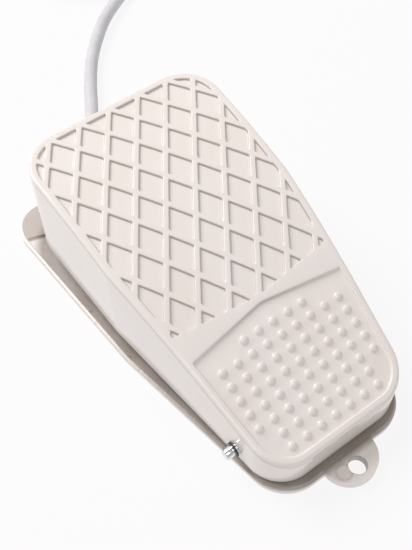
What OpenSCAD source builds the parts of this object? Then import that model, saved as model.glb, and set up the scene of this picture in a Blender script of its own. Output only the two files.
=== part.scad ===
// Foot switch for a sewing machine: a cast pedal hinged on a cast base,
// with a snap-action switch, a return spring and a mains lead.
// Millimetres. +X is the user's right, +Y the toe end, +Z up.
// Z = 0 is the floor, X = Y = 0 the middle of the housing without the lead.

/* [Pedal] */
// half width of the pedal at its toe end
pedal_half_toe = 48.4; // [46:0.1:50]
// half width of the pedal where its side bends
pedal_half_bend = 46.8; // [45:0.1:48]
// half width of the pedal at its heel end, before the corners are rounded
pedal_half_heel = 35.8; // [34:0.1:37]
// distance from the middle to each end of the pedal
pedal_half_length = 85; // [83:0.5:85]
// radius of the crown along the diamond zone
crown_r = 355; // [350:1:365]
// thickness of the pedal's walls
pedal_wall = 3; // [2.5:0.1:3.2]
// depth of the diamond floors and of the heel pad
tread_depth = 1.2; // [0.8:0.1:1.6]
// width of a tread rib at its top
rib_w = 2.3; // [1.8:0.1:3]
// diameter of a grip stud
stud_d = 3.9; // [3:0.1:4.6]
// how far a grip stud stands up
stud_h = 1.1; // [0.6:0.1:1.2]

/* [Base] */
// half width of the base at its toe end
base_half_toe = 52.9; // [52:0.1:55]
// half width of the base where its side bends
base_half_bend = 48.8; // [48:0.1:50]
// half width of the base at its heel end, before the corners are rounded
base_half_heel = 35.1; // [34.5:0.1:37]
// radius of the mounting ear at the heel
ear_r = 12.7; // [11:0.1:14]
// radius of each mounting hole
mount_hole_r = 4; // [3:0.1:4.5]
// how far the rubber feet stand below the casting
foot_h = 0.8; // [0.6:0.1:1.2]

/* [Hinge] */
// radius of the hinge pin
pin_r = 2.5; // [2:0.1:2.8]
// how far the pin stands out of the pedal on each side
pin_proud = 5.4; // [4.5:0.1:7]

/* [Lead] */
// diameter of the lead
lead_d = 7.2; // [6.5:0.1:7.3]

/* [Hidden] */
$fn = 48;
eps = 0.01;
// pedal plan: where the side bends, and the corner radii
bend_y = 14;
toe_r = 18.5;
heel_r = 17.5;
// crown: axis of its cylinder, and the line where the flat heel part starts
crown_y = 92.5;
crown_z = -288.3 + (355 - crown_r);
flat_y = -41;
flat_slope = 0.4058;
crown_steps = 20;
// tread: half the diamonds' pitch each way, and the middle of a crossing
rib_x = 7.7;
rib_y = 10.93;
rib_mid_y = 61.2;
// grip studs: pitch across, pitch along, and the first row
stud_dx = 7.6;
stud_dy = 6;
stud_y = -35.5;
// lower edge of the pedal's skirt
skirt_heel_z = 6.5;
skirt_toe_z = 18.1;
skirt_slope = (skirt_toe_z - skirt_heel_z) / 170;
// base
base_bend_y = 4.5;
base_toe_y = 101.4;
base_heel_y = -89;
base_toe_r = 14;
base_heel_r = 18.5;
tier_z = 4;
flange_z = 6;
ledge_z = 7.4;
ledge_y = 82.5;
ledge_side_y = 88.7;
floor_z = 4;
ear_y = -88.7;
ear_z = 5.3;
ear_hole_y = -94.5;
toe_hole_x = 30;
toe_hole_y = 91.5;
tray_gap = 4.8;
tray_wall = 2.5;
// hinge
pin_y = -61;
pin_z = 13.6;
pin_half = pedal_half_heel + (85 - 61) * 0.1111 + pin_proud;
clip_x = 39.1;
hinge_boss_x = 30.2;
hinge_boss_half = 3.4;
hinge_boss_r = 6.5;
// switch
sw_y = -15.5;
sw_front_y = -20;
sw_half = 13.9;
sw_depth = 9;
cover_t = 1.2;
terminal_x = 8.5;
contact_x = 6;
sw_z = 13.5;
sw_h = 15.9;
sw_post_x = 11.1;
sw_post_z = 16.6;
plunger_top = 33.2;
plunger_r = 1.7;
// return spring
spring_y = 35;
spring_z0 = 6;
spring_z1 = 54;
spring_r = 8;
spring_wire = 2;
// stops
stop_x = 25;
stop_y = 68;
stop_top = 20.2;
stop_boss_z = 30;
// bracket under the pedal: place of its two screws
bracket_x = 7;
bracket_y = 5;
// earth screw
earth_x = -28;
earth_y = 22;
// lead
lead_r = lead_d / 2;
lead_x = 8;
lead_z = 7.7;
clamp_y = 60;
clamp_dx = 10;
boot_y = base_toe_y;
boot_len = 26;
boot_turn = 10;
coil_x = 95;
coil_y = 269;
coil_mid_r = 38;
// lead outside the housing, from the collar to the coil
lead_out = [[8, 101.4, 7.7], [10.2, 114, 7.2], [12.6, 126, 6.4], [15, 132, 5.4],
    [17.8, 137, 4.6], [20.8, 142, 4], [24.4, 148, 3.7], [28.4, 155, 3.6],
    [33, 162.2, 3.6], [38.4, 170.2, 3.6], [44, 177.6, 3.6], [50, 184.4, 3.6],
    [56, 190.4, 3.6], [62, 196, 3.6], [68, 201, 3.6], [75, 205.6, 3.6],
    [82.4, 210, 3.6], [91, 215, 3.6], [99.6, 219.8, 3.6]];
// end of the lead, from the coil to the plug
lead_tail = [[95, 314.2, 10.8], [88, 314.6, 9.4], [80, 315, 6.8], [72, 315, 4.8],
    [64, 315, 4.4], [56, 315, 5.6], [48, 315, 6.2], [40, 315, 6.2]];
plug_x = 50;
plug_y = 315;
plug_z = 6.2;
plug_w = 24;
plug_h = 12.4;
plug_pin_gap = 7;
// wires inside: brown and blue to the switch, green to the earth screw
wire_r = 1;
wire_a = [[9.6, 54, 8.6], [12, 48, 8.4], [16, 36, 7], [18, 20, 6.5], [19.5, 6, 6.5],
    [20, -6, 7], [18.5, -14, 7.5], [14, -18.4, 8], [9, -18.2, 8]];
wire_b = [[6.4, 54, 8.6], [1, 49.6, 8], [-12, 43, 7], [-17, 32, 6], [-19, 14, 6.5],
    [-20, 0, 6.5], [-19.5, -10, 7], [-15, -17.6, 8], [-9, -18.2, 8]];
wire_c = [[8, 54, 5.8], [3, 51.8, 5.2], [-10, 51.4, 5.2], [-22, 46, 6], [-27, 38, 8],
    [-28, 29.4, 9.5]];

// ---- shared outlines and shapes

// symmetric outline with one bend in each side and four rounded corners, as true arcs
module outline(wt, wk, wh, yk, yt, yh, rt, rh, d = 0) {
    mt = (wt - wk) / (yt - yk);
    mh = (wk - wh) / (yk - yh);
    et = sqrt(1 + mt * mt);
    eh = sqrt(1 + mh * mh);
    ty = yt - rt;
    hy = yh + rh;
    tx = wk + mt * (ty - yk) - rt * et;
    hx = wk - mh * (yk - hy) - rh * eh;
    bt = rt + d;
    bh = rh + d;
    kx = wk + d;
    right = [[hx, hy - bh], [hx + bh / eh, hy - bh * mh / eh], [kx, yk],
        [tx + bt / et, ty - bt * mt / et], [tx, ty + bt]];
    left = [for (i = [4:-1:0]) [-right[i][0], right[i][1]]];
    polygon(concat(right, left));
    for (s = [-1, 1]) {
        translate([s * tx, ty]) circle(r = bt);
        translate([s * hx, hy]) circle(r = bh);
    }
}

module pedal_plan(d = 0) {
    outline(pedal_half_toe, pedal_half_bend, pedal_half_heel, bend_y, pedal_half_length,
        -pedal_half_length, toe_r, heel_r, d);
}

module base_plan(d = 0) {
    outline(base_half_toe, base_half_bend, base_half_heel, base_bend_y, base_toe_y, base_heel_y,
        base_toe_r, base_heel_r, d);
}

// side view of the crown: an arc from the toe, then the straight heel part
function crown_pt(a, r) = [crown_y - r * sin(a), crown_z + r * cos(a)];
function crown_line(sink) = let (a1 = atan(flat_slope), a0 = -4.4, r = crown_r - sink,
    e = crown_pt(a1, r))
    concat([for (i = [0:crown_steps]) crown_pt(a0 + (a1 - a0) * i / crown_steps, r)],
        [[-120, e[1] - (120 + e[0]) * flat_slope]]);

// everything under the pedal's upper face, lowered by sink
module under_crown(sink = 0) {
    side_wedge(concat([[-120, -40], [crown_line(sink)[0][0], -40]], crown_line(sink)));
}

// a Y-Z outline carried right across the object
module side_wedge(points, half = 70) {
    translate([-half, 0, 0])
        rotate([90, 0, 90])
            linear_extrude(2 * half) polygon(points);
}

// round bar along X
module bar_x(r, x0, x1, y, z) {
    translate([x0, y, z]) rotate([0, 90, 0]) cylinder(r = r, h = x1 - x0);
}

// round bar along Y
module bar_y(r, y0, y1, x, z) {
    translate([x, y1, z]) rotate([90, 0, 0]) cylinder(r = r, h = y1 - y0);
}

// swept tube along hand-set points
function unit3(v) = v / norm(v);
function spline_at(p, i, t) = let (
    n = len(p) - 1,
    a = p[max(i - 1, 0)], b = p[i], c = p[min(i + 1, n)], d = p[min(i + 2, n)])
    0.5 * (2 * b + (c - a) * t + (2 * a - 5 * b + 4 * c - d) * t * t
        + (3 * b - a - 3 * c + d) * t * t * t);
function smooth_path(p, k) = [for (i = [0:len(p) - 2]) for (j = [0:k - 1]) spline_at(p, i, j / k),
    p[len(p) - 1]];
function tangent(q, i) = let (n = len(q) - 1) unit3(q[min(i + 1, n)] - q[max(i - 1, 0)]);
function side_of(t) = unit3(cross(t, abs(t[2]) > 0.95 ? [0, 1, 0] : [0, 0, 1]));
function ring(c, t, r, n) = let (u = side_of(t), v = cross(u, t))
    [for (k = [0:n - 1]) c + r * (cos(360 * k / n) * u + sin(360 * k / n) * v)];

module swept(q, r, n = 8) {
    m = len(q);
    pts = [for (i = [0:m - 1]) for (p = ring(q[i], tangent(q, i), r, n)) p];
    sides = [for (i = [0:m - 2]) for (k = [0:n - 1])
        [i * n + k, i * n + (k + 1) % n, (i + 1) * n + (k + 1) % n, (i + 1) * n + k]];
    ends = [[for (k = [n - 1:-1:0]) k], [for (k = [0:n - 1]) (m - 1) * n + k]];
    polyhedron(points = pts, faces = concat(sides, ends), convexity = 8);
}

// ---- base

module tray_top() {
    side_wedge([[-100, 12.5 - 15 * skirt_slope], [100, 12.5 + 185 * skirt_slope], [100, -5],
        [-100, -5]]);
}

module hinge_boss_plan(s) {
    translate([s * hinge_boss_x - hinge_boss_half, pin_y - hinge_boss_r])
        square([2 * hinge_boss_half, 2 * hinge_boss_r]);
}

module base_casting() {
    color("#D8D2C8")
    difference() {
        union() {
            translate([0, 0, foot_h]) linear_extrude(tier_z - foot_h) base_plan(0);
            translate([0, 0, tier_z - eps]) linear_extrude(flange_z - tier_z + eps) base_plan(-1);
            // ear at the heel
            translate([0, ear_y, foot_h]) cylinder(r = ear_r, h = ear_z - foot_h);
            // raised ledge past the toe of the pedal
            translate([0, 0, flange_z - eps])
                linear_extrude(ledge_z - flange_z + eps)
                    intersection() {
                        base_plan(-1);
                        polygon([[-60, ledge_side_y], [-40, ledge_y], [40, ledge_y],
                            [60, ledge_side_y], [60, 120], [-60, 120]]);
                    }
            // tray wall inside the pedal's skirt
            intersection() {
                translate([0, 0, floor_z])
                    linear_extrude(30)
                        difference() {
                            pedal_plan(-tray_gap);
                            pedal_plan(-tray_gap - tray_wall);
                        }
                tray_top();
            }
            // hinge bosses
            for (s = [-1, 1]) {
                bar_x(hinge_boss_r, s * hinge_boss_x - hinge_boss_half,
                    s * hinge_boss_x + hinge_boss_half, pin_y, pin_z);
                translate([0, 0, floor_z - eps])
                    linear_extrude(pin_z - floor_z) hinge_boss_plan(s);
            }
            // collar for the lead
            bar_y(8, 88, base_toe_y - 1, lead_x, lead_z);
        }
        // pocket inside the tray wall
        translate([0, 0, floor_z])
            linear_extrude(flange_z - floor_z + eps)
                difference() {
                    pedal_plan(-tray_gap - tray_wall);
                    for (s = [-1, 1])
                        hinge_boss_plan(s);
                }
        bar_x(pin_r + 0.03, -60, 60, pin_y, pin_z);
        // collar is cut flat under the casting
        translate([-20, 80, -5]) cube([60, 40, 5 + foot_h]);
        // passage for the lead
        bar_y(lead_r + 0.3, 70, 96, lead_x, lead_z);
        bar_y(5.7, 95, 110, lead_x, lead_z);
        // mounting holes
        translate([0, ear_hole_y, -1]) cylinder(r = mount_hole_r, h = 20);
        for (s = [-1, 1])
            translate([s * toe_hole_x, toe_hole_y, -1]) cylinder(r = mount_hole_r, h = 20);
        // ejector mark on the ear
        translate([-6.6, -93.4, ear_z - 0.35]) cylinder(r = 3.5, h = 1);
        // seats and holes for the feet
        feet_places() {
            translate([0, 0, -1]) cylinder(r = 6.1, h = 1 + 2.4 + eps);
            translate([0, 0, 0]) cylinder(r = 2.6, h = 6);
        }
    }
    // pillars on the floor of the tray
    color("#D8D2C8")
    difference() {
        union() {
            translate([-16, -10.95, floor_z]) cube([32, 3, 23]);
            for (s = [-1, 1])
                translate([s * 15 - 1, -10, floor_z]) cube([2, 9, 12]);
            translate([0, spring_y, floor_z]) cylinder(r = 5.6, h = 8);
            translate([0, spring_y, floor_z]) cylinder(r = 12, h = 1);
            for (s = [-1, 1])
                translate([s * stop_x, stop_y, floor_z]) cylinder(r = 6, h = 10);
            for (s = [-1, 1])
                translate([lead_x + s * clamp_dx, clamp_y, floor_z]) cylinder(r = 3.6, h = 4);
            translate([earth_x, earth_y, floor_z]) cylinder(r = 4.5, h = 5);
        }
        for (s = [-1, 1])
            bar_y(1.6, -12, 0, s * sw_post_x, sw_post_z);
        for (s = [-1, 1])
            translate([lead_x + s * clamp_dx, clamp_y, floor_z - 1]) cylinder(r = 1.55, h = 8);
        translate([earth_x, earth_y, floor_z + 0.5]) cylinder(r = 1.8, h = 8);
        for (s = [-1, 1])
            translate([s * stop_x, stop_y, floor_z + 4]) cylinder(r = 2.1, h = 8);
    }
}

module feet_places() {
    for (s = [-1, 1]) {
        translate([s * 33, 62, 0]) children();
        translate([s * 22, -70, 0]) children();
    }
}

module rubber_feet() {
    color("#2A2A2A") feet_places() {
        translate([0, 0, 0]) cylinder(r = 6, h = 2.4);
        translate([0, 0, 2.4 - eps]) cylinder(r = 2.5, h = 1.8);
        translate([0, 0, 4.05]) cylinder(r1 = 3.6, r2 = 2.6, h = 1.5);
    }
}

module hinge_pin() {
    color("#C9CCCF") {
        bar_x(pin_r, -pin_half + 0.4, pin_half - 0.4, pin_y, pin_z);
        translate([pin_half - 0.4, pin_y, pin_z])
            rotate([0, 90, 0]) cylinder(r1 = pin_r, r2 = pin_r - 0.4, h = 0.4);
        translate([-pin_half, pin_y, pin_z])
            rotate([0, 90, 0]) cylinder(r1 = pin_r - 0.4, r2 = pin_r, h = 0.4);
    }
}

module pin_clips() {
    color("#2B2B2B")
    for (s = [-1, 1])
        translate([s * (clip_x + 0.4), pin_y, pin_z])
            rotate([0, 90, 0])
                linear_extrude(0.8, center = true)
                    difference() {
                        circle(r = 3.4);
                        circle(r = pin_r + 0.02);
                        translate([0, -1.6]) square([8, 3.2]);
                    }
}

// ---- switch

module switch_case() {
    color("#1E1E20")
    difference() {
        translate([-sw_half, sw_front_y, sw_z]) cube([2 * sw_half, sw_depth, sw_h]);
        translate([-8.8, sw_front_y - eps, sw_z + 1.4]) cube([17.6, 7.6, sw_h - 2.9]);
        for (s = [-1, 1])
            bar_y(1.6, -25, -5, s * sw_post_x, sw_post_z);
        translate([0, sw_y, sw_z + 5]) cylinder(r = plunger_r + 0.05, h = 20);
        for (x = [-terminal_x, 0.5, terminal_x])
            translate([x - 3.2, -17.1, sw_z - 1]) cube([6.4, 0.9, 3]);
    }
}

module switch_cover() {
    color("#26262A")
    difference() {
        translate([-sw_half, sw_front_y - cover_t, sw_z]) cube([2 * sw_half, cover_t, sw_h]);
        for (s = [-1, 1])
            bar_y(1.6, -25, -5, s * sw_post_x, sw_post_z);
    }
}

module switch_terminals() {
    color("#C8A86A")
    for (x = [-terminal_x, 0.5, terminal_x])
        difference() {
            translate([x - 3.1, -17, 7]) cube([6.2, 0.7, sw_z + 1.4 - 7]);
            bar_y(0.9, -20, -10, x, 9);
        }
}

module fixed_contacts() {
    color("#B98E4F")
    for (s = [-1, 1]) {
        translate([s * contact_x - 2, -17.2, sw_z + 1.42]) cube([4, 3.4, 3.2]);
        translate([s * contact_x, sw_y, sw_z + 4.6]) cylinder(r = 1.4, h = 0.6);
    }
}

module switch_screws() {
    color("#B9BBBE")
    for (s = [-1, 1]) {
        bar_y(1.5, -21.22, -4.6, s * sw_post_x, sw_post_z);
        difference() {
            bar_y(2.8, -23, -21.22, s * sw_post_x, sw_post_z);
            translate([s * sw_post_x - 3, -23.1, sw_post_z - 0.4]) cube([6, 0.8, 0.8]);
        }
    }
}

module switch_nuts() {
    color("#B9BBBE")
    for (s = [-1, 1])
        difference() {
            translate([s * sw_post_x, -5.5, sw_post_z])
                rotate([90, 0, 0]) cylinder(r = 3.1, h = 2.38, $fn = 6);
            bar_y(1.53, -8, 0, s * sw_post_x, sw_post_z);
        }
}

module switch_plunger() {
    color("#B23A2E") {
        translate([0, sw_y, 23.75]) cylinder(r = plunger_r, h = plunger_top - 23.75 - 0.4);
        translate([0, sw_y, plunger_top - 0.4 - eps])
            cylinder(r1 = plunger_r, r2 = plunger_r - 0.4, h = 0.4 + eps);
    }
}

module contact_blade() {
    color("#C58B52") {
        translate([-8, -17, 23.2]) cube([16, 3, 0.5]);
        for (s = [-1, 1])
            translate([s * contact_x, sw_y, 22.5]) cylinder(r = 1.4, h = 0.7 + eps);
    }
}

// ---- spring and stops

module return_spring() {
    turns = 7;
    n = 16;
    q = [for (i = [0:turns * n]) [spring_r * cos(360 * i / n), spring_y + spring_r * sin(360 * i / n),
        spring_z0 + spring_wire / 2 + 0.05
        + (spring_z1 - spring_z0 - spring_wire - 0.1) * i / (turns * n)]];
    color("#A9ABAF") swept(q, spring_wire / 2, 8);
}

module spring_seat() {
    color("#8D8F92")
    difference() {
        translate([0, spring_y, floor_z + 1]) cylinder(r = 11, h = 1);
        translate([0, spring_y, floor_z]) cylinder(r = 5.7, h = 4);
    }
}

module stop_bumpers() {
    color("#2A2A2A")
    for (s = [-1, 1])
        translate([s * stop_x, stop_y, 0]) {
            translate([0, 0, 14]) cylinder(r1 = 6, r2 = 5.2, h = stop_top - 14);
            translate([0, 0, 8.5]) cylinder(r = 2.05, h = 5.5 + eps);
        }
}

// ---- lead anchorage

module cord_clamp() {
    color("#B9BBBE")
    difference() {
        union() {
            translate([lead_x - 12.6, clamp_y - 3.4, 8]) cube([25.2, 6.8, 1.4]);
            bar_y(lead_r + 1.5, clamp_y - 3.4, clamp_y + 3.4, lead_x, lead_z);
        }
        bar_y(lead_r + 0.02, 50, 70, lead_x, lead_z);
        translate([lead_x - 20, 50, -5]) cube([40, 20, 13]);
        for (s = [-1, 1])
            translate([lead_x + s * clamp_dx, clamp_y, 0]) cylinder(r = 1.6, h = 20);
    }
}

module clamp_screws() {
    color("#B9BBBE")
    for (s = [-1, 1])
        translate([lead_x + s * clamp_dx, clamp_y, 0]) {
            translate([0, 0, 4.2]) cylinder(r = 1.5, h = 5.3);
            difference() {
                translate([0, 0, 9.42]) cylinder(r = 2.8, h = 1.8);
                translate([-3, -0.4, 10.5]) cube([6, 0.8, 1]);
            }
        }
}

module earth_screw() {
    color("#C8A86A")
    translate([earth_x, earth_y, 0]) {
        translate([0, 0, 5]) cylinder(r = 1.75, h = 5.1);
        difference() {
            translate([0, 0, 10.02]) cylinder(r = 3.4, h = 2.2);
            translate([-4, -0.5, 11.4]) cube([8, 1, 1]);
        }
    }
}

module earth_tag() {
    color("#C8CCD0")
    difference() {
        union() {
            translate([earth_x, earth_y, 9.02]) cylinder(r = 3.6, h = 0.9);
            translate([earth_x - 1.5, earth_y + 2, 9.02]) cube([3, 4, 0.9]);
        }
        translate([earth_x, earth_y, 0]) cylinder(r = 1.85, h = 20);
    }
}

module wire_live() {
    color("#7A4A2A") swept(smooth_path(wire_a, 3), wire_r, 8);
}

module wire_neutral() {
    color("#2F5F9E") swept(smooth_path(wire_b, 3), wire_r, 8);
}

module wire_earth() {
    color("#5D8A3A") swept(smooth_path(wire_c, 3), wire_r, 8);
}

module cord_bush() {
    color("#3A3A3C")
    difference() {
        bar_y(5.65, 96.05, base_toe_y - 0.4, lead_x, lead_z);
        bar_y(lead_r + 0.01, 90, 110, lead_x, lead_z);
    }
}

module cord_boot() {
    color("#B9B8BB")
    translate([lead_x, boot_y + 0.02, lead_z])
        rotate([-90 - 2.6, 0, -boot_turn])
            difference() {
                union() {
                    cylinder(r = 6.6, h = 2.6);
                    cylinder(r1 = 5.6, r2 = 4.5, h = boot_len);
                    for (k = [0:4])
                        translate([0, 0, 5 + 4 * k]) cylinder(r = 5.9 - 0.22 * k, h = 2.2);
                }
                translate([0, 0, -5]) cylinder(r = lead_r + 0.01, h = 60);
                // flat where the boot meets the collar
                translate([0, 0, -3]) cylinder(r = 9, h = 3 + 1.2);
            }
}

// ---- pedal

// part of the top that carries the diamond floors
module tread_region() {
    intersection() {
        pedal_plan(-3.3);
        polygon([[-60, -18.5], [0, -24.5], [60, -18.5], [60, 100], [-60, 100]]);
    }
}

module rib_lines() {
    a = atan2(rib_y, rib_x);
    for (k = [-9:9])
        for (s = [-1, 1])
            translate([2 * k * rib_x, rib_mid_y])
                rotate(s * a)
                    square([400, rib_w], center = true);
}

// flat pad at the heel, bounded by a shallow chevron
module pad_region() {
    intersection() {
        pedal_plan(-3);
        polygon([[-60, -35.46], [0, -26.8], [60, -35.46], [60, -100], [-60, -100]]);
    }
}

module studs() {
    r = (stud_d * stud_d / 4 + stud_h * stud_h) / (2 * stud_h);
    slant = atan(flat_slope);
    for (row = [0:7]) {
        half = row == 0 ? 2 : row < 6 ? 4 : 3;
        y = stud_y - stud_dy * row;
        z = crown_z + sqrt(crown_r * crown_r - pow(crown_y - max(y, flat_y), 2))
            - max(flat_y - y, 0) * flat_slope - tread_depth / cos(slant);
        for (k = [-half:half])
            translate([stud_dx * k, y, z])
                rotate([slant, 0, 0])
                    translate([0, 0, stud_h - r]) sphere(r = r, $fn = 28);
    }
}

module pedal_casting() {
    color("#EEE9E3")
    difference() {
        union() {
            // shell with its tread cut down to the floors
            difference() {
                intersection() {
                    linear_extrude(80) pedal_plan(0);
                    under_crown(0);
                    side_wedge([[-100, skirt_heel_z - 15 * skirt_slope],
                        [100, skirt_toe_z + 15 * skirt_slope], [100, 90], [-100, 90]]);
                }
                difference() {
                    union() {
                        linear_extrude(90) difference() {
                            tread_region();
                            rib_lines();
                        }
                        linear_extrude(90) pad_region();
                    }
                    under_crown(tread_depth);
                }
                intersection() {
                    translate([0, 0, -5]) linear_extrude(85) pedal_plan(-pedal_wall);
                    under_crown(tread_depth + pedal_wall);
                }
            }
            difference() {
                studs();
                under_crown(tread_depth + 1);
            }
            // bosses under the crown
            intersection() {
                union() {
                    translate([0, spring_y, spring_z1]) cylinder(r = 11.5, h = 20);
                    for (s = [-1, 1]) {
                        translate([s * stop_x, stop_y, stop_boss_z]) cylinder(r = 6, h = 60);
                        translate([s * bracket_x, bracket_y, 45]) cylinder(r = 5, h = 20);
                    }
                }
                under_crown(tread_depth + 1);
            }
        }
        bar_x(pin_r + 0.05, -60, 60, pin_y, pin_z);
        // clearance for the lead in the toe wall
        translate([lead_x - 6, 75, 0]) cube([12, 20, 23]);
        for (s = [-1, 1])
            translate([s * bracket_x, bracket_y, 40]) cylinder(r = 1.6, h = 9);
    }
}

module actuator_bracket() {
    color("#B4B7BB")
    difference() {
        union() {
            translate([-12, -4.5, 43.5]) cube([24, 14.5, 1.5]);
            translate([-7, -4.5, 37]) cube([14, 1.5, 8]);
            translate([-7, -21, 37]) cube([14, 18, 1.5]);
        }
        for (s = [-1, 1])
            translate([s * bracket_x, bracket_y, 40]) cylinder(r = 1.7, h = 9);
        translate([0, sw_y, 30]) cylinder(r = 2.05, h = 12);
    }
}

module bracket_screws() {
    color("#B9BBBE")
    for (s = [-1, 1])
        translate([s * bracket_x, bracket_y, 0]) {
            translate([0, 0, 43.4]) cylinder(r = 1.55, h = 5);
            difference() {
                translate([0, 0, 41.68]) cylinder(r = 3, h = 1.8);
                translate([-3.5, -0.4, 41.5]) cube([7, 0.8, 0.9]);
            }
        }
}

module adjusting_screw() {
    color("#B9BBBE") {
        translate([0, sw_y, plunger_top + 0.3]) cylinder(r = 2, h = 42.7 - plunger_top);
        translate([0, sw_y, 43]) cylinder(r = 1.6, h = 0.6);
    }
}

module lock_nut() {
    color("#B9BBBE")
    difference() {
        translate([0, sw_y, 38.52]) cylinder(r = 4, h = 2.8, $fn = 6);
        translate([0, sw_y, 35]) cylinder(r = 2.03, h = 9);
    }
}

// ---- lead

module inner_cord() {
    color("#BDBBBF") bar_y(lead_r, 55.2, boot_y, lead_x, lead_z);
}

module cord() {
    color("#BDBBBF") {
        swept(smooth_path(lead_out, 2), lead_r, 12);
        swept(smooth_path(lead_tail, 2), lead_r, 12);
    }
}

module cord_coil() {
    color("#BDBBBF")
    translate([coil_x, coil_y, 0])
        rotate_extrude($fn = 96)
            union() {
                translate([coil_mid_r - lead_d * 1.5 + 2, 0]) square([lead_d * 3 - 4, lead_d * 2]);
                translate([coil_mid_r - lead_d * 1.5, 2]) square([lead_d * 3, lead_d * 2 - 4]);
                for (s = [-1, 1], z = [2, lead_d * 2 - 2])
                    translate([coil_mid_r + s * (lead_d * 1.5 - 2), z]) circle(r = 2, $fn = 16);
            }
}

module coil_tie() {
    color("#2E2E30")
    translate([coil_x, coil_y, 0])
        rotate([0, 0, 200])
            translate([coil_mid_r, 0, 0])
                difference() {
                    translate([-12.1, -2.5, 0]) cube([24.2, 5, lead_d * 2 + 1]);
                    translate([-11, -4, -1]) cube([22, 8, lead_d * 2 + 1.05]);
                }
}

module plug_boot() {
    color("#B9B8BB")
    translate([plug_x + 14, plug_y, plug_z])
        rotate([0, -90, 0])
            difference() {
                cylinder(r1 = 4.4, r2 = 6, h = 14);
                translate([0, 0, -1]) cylinder(r = lead_r + 0.01, h = 20);
            }
}

module plug_body() {
    color("#B9B8BB")
    difference() {
        union() {
            translate([plug_x - 34, plug_y - plug_w / 2, 0]) cube([30, plug_w, plug_h]);
            translate([plug_x - 4, plug_y - 9, 0.8]) cube([4, 18, 10.8]);
        }
        bar_x(lead_r + 0.01, plug_x - 14, plug_x + 10, plug_y, plug_z);
    }
}

module plug_pins() {
    color("#C8A86A")
    for (k = [-1:1])
        bar_x(2, plug_x - 46, plug_x - 34, plug_y + plug_pin_gap * k, plug_z);
}

base_casting();
rubber_feet();
hinge_pin();
pin_clips();
switch_case();
switch_cover();
switch_terminals();
fixed_contacts();
switch_screws();
switch_nuts();
switch_plunger();
contact_blade();
return_spring();
spring_seat();
stop_bumpers();
cord_clamp();
clamp_screws();
earth_screw();
earth_tag();
wire_live();
wire_neutral();
wire_earth();
cord_bush();
cord_boot();
pedal_casting();
actuator_bracket();
bracket_screws();
adjusting_screw();
lock_nut();
inner_cord();
cord();
cord_coil();
coil_tie();
plug_boot();
plug_body();
plug_pins();
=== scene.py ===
"""Looks for the sewing machine foot switch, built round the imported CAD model.

Metres, in the row frame: +X the user's right, +Y the toe end and the lead, +Z up, floor at 0.
"""
import math

import bmesh
import bpy
import numpy as np
from mathutils import Matrix, Vector
from mathutils.geometry import delaunay_2d_cdt


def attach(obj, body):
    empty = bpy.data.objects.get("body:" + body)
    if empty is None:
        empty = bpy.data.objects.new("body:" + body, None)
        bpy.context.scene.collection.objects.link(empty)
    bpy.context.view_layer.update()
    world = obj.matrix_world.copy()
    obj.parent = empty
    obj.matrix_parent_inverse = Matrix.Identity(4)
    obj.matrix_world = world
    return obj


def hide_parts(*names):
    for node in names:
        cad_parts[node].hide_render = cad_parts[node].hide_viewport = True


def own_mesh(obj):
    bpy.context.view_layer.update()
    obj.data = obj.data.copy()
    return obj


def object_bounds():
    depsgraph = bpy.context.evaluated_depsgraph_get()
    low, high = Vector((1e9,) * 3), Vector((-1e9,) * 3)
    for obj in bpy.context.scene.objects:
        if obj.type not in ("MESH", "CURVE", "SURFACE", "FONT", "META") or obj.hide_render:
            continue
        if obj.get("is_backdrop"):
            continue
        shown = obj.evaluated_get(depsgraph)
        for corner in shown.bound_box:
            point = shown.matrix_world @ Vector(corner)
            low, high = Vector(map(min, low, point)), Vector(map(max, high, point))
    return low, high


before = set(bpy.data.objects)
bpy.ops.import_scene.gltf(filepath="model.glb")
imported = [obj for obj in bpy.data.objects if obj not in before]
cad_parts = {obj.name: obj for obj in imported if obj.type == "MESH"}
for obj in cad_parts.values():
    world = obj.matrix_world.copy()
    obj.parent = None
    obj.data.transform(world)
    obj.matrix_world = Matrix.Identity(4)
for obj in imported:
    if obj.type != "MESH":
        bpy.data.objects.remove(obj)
CAD_BOX = [list(corner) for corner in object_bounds()]
MM = 0.001
scene = bpy.context.scene


# ------------------------------------------------------------------ camera, light and floor

def aim(obj, target):
    """Turns a camera or a light towards a point."""
    obj.rotation_mode = "QUATERNION"
    away = Vector(obj.location) - Vector(target)
    obj.rotation_quaternion = away.to_track_quat("Z", "Y")


def make_camera():
    """The photograph's view: over the heel's left corner, looking down the pedal."""
    data = bpy.data.cameras.new("view")
    data.sensor_width = 36
    data.lens = 58.4
    data.clip_start, data.clip_end = 0.02, 20
    cam = bpy.data.objects.new("view", data)
    scene.collection.objects.link(cam)
    azimuth, elevation, distance = math.radians(-36.65), math.radians(56.16), 0.4273
    target = Vector((0.0082, 0.0216, 0))
    back = Vector((math.sin(azimuth) * math.cos(elevation),
                   -math.cos(azimuth) * math.cos(elevation), math.sin(elevation)))
    cam.location = target + back * distance
    aim(cam, target)
    scene.camera = cam


def area_light(name, place, size, watts, colour):
    """A round soft light aimed at the middle of the object."""
    data = bpy.data.lights.new(name, "AREA")
    data.shape = "DISK"
    data.size = size
    data.energy = watts
    data.color = colour
    obj = bpy.data.objects.new(name, data)
    obj.location = place
    scene.collection.objects.link(obj)
    aim(obj, (0, 0, 0.03))


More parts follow.
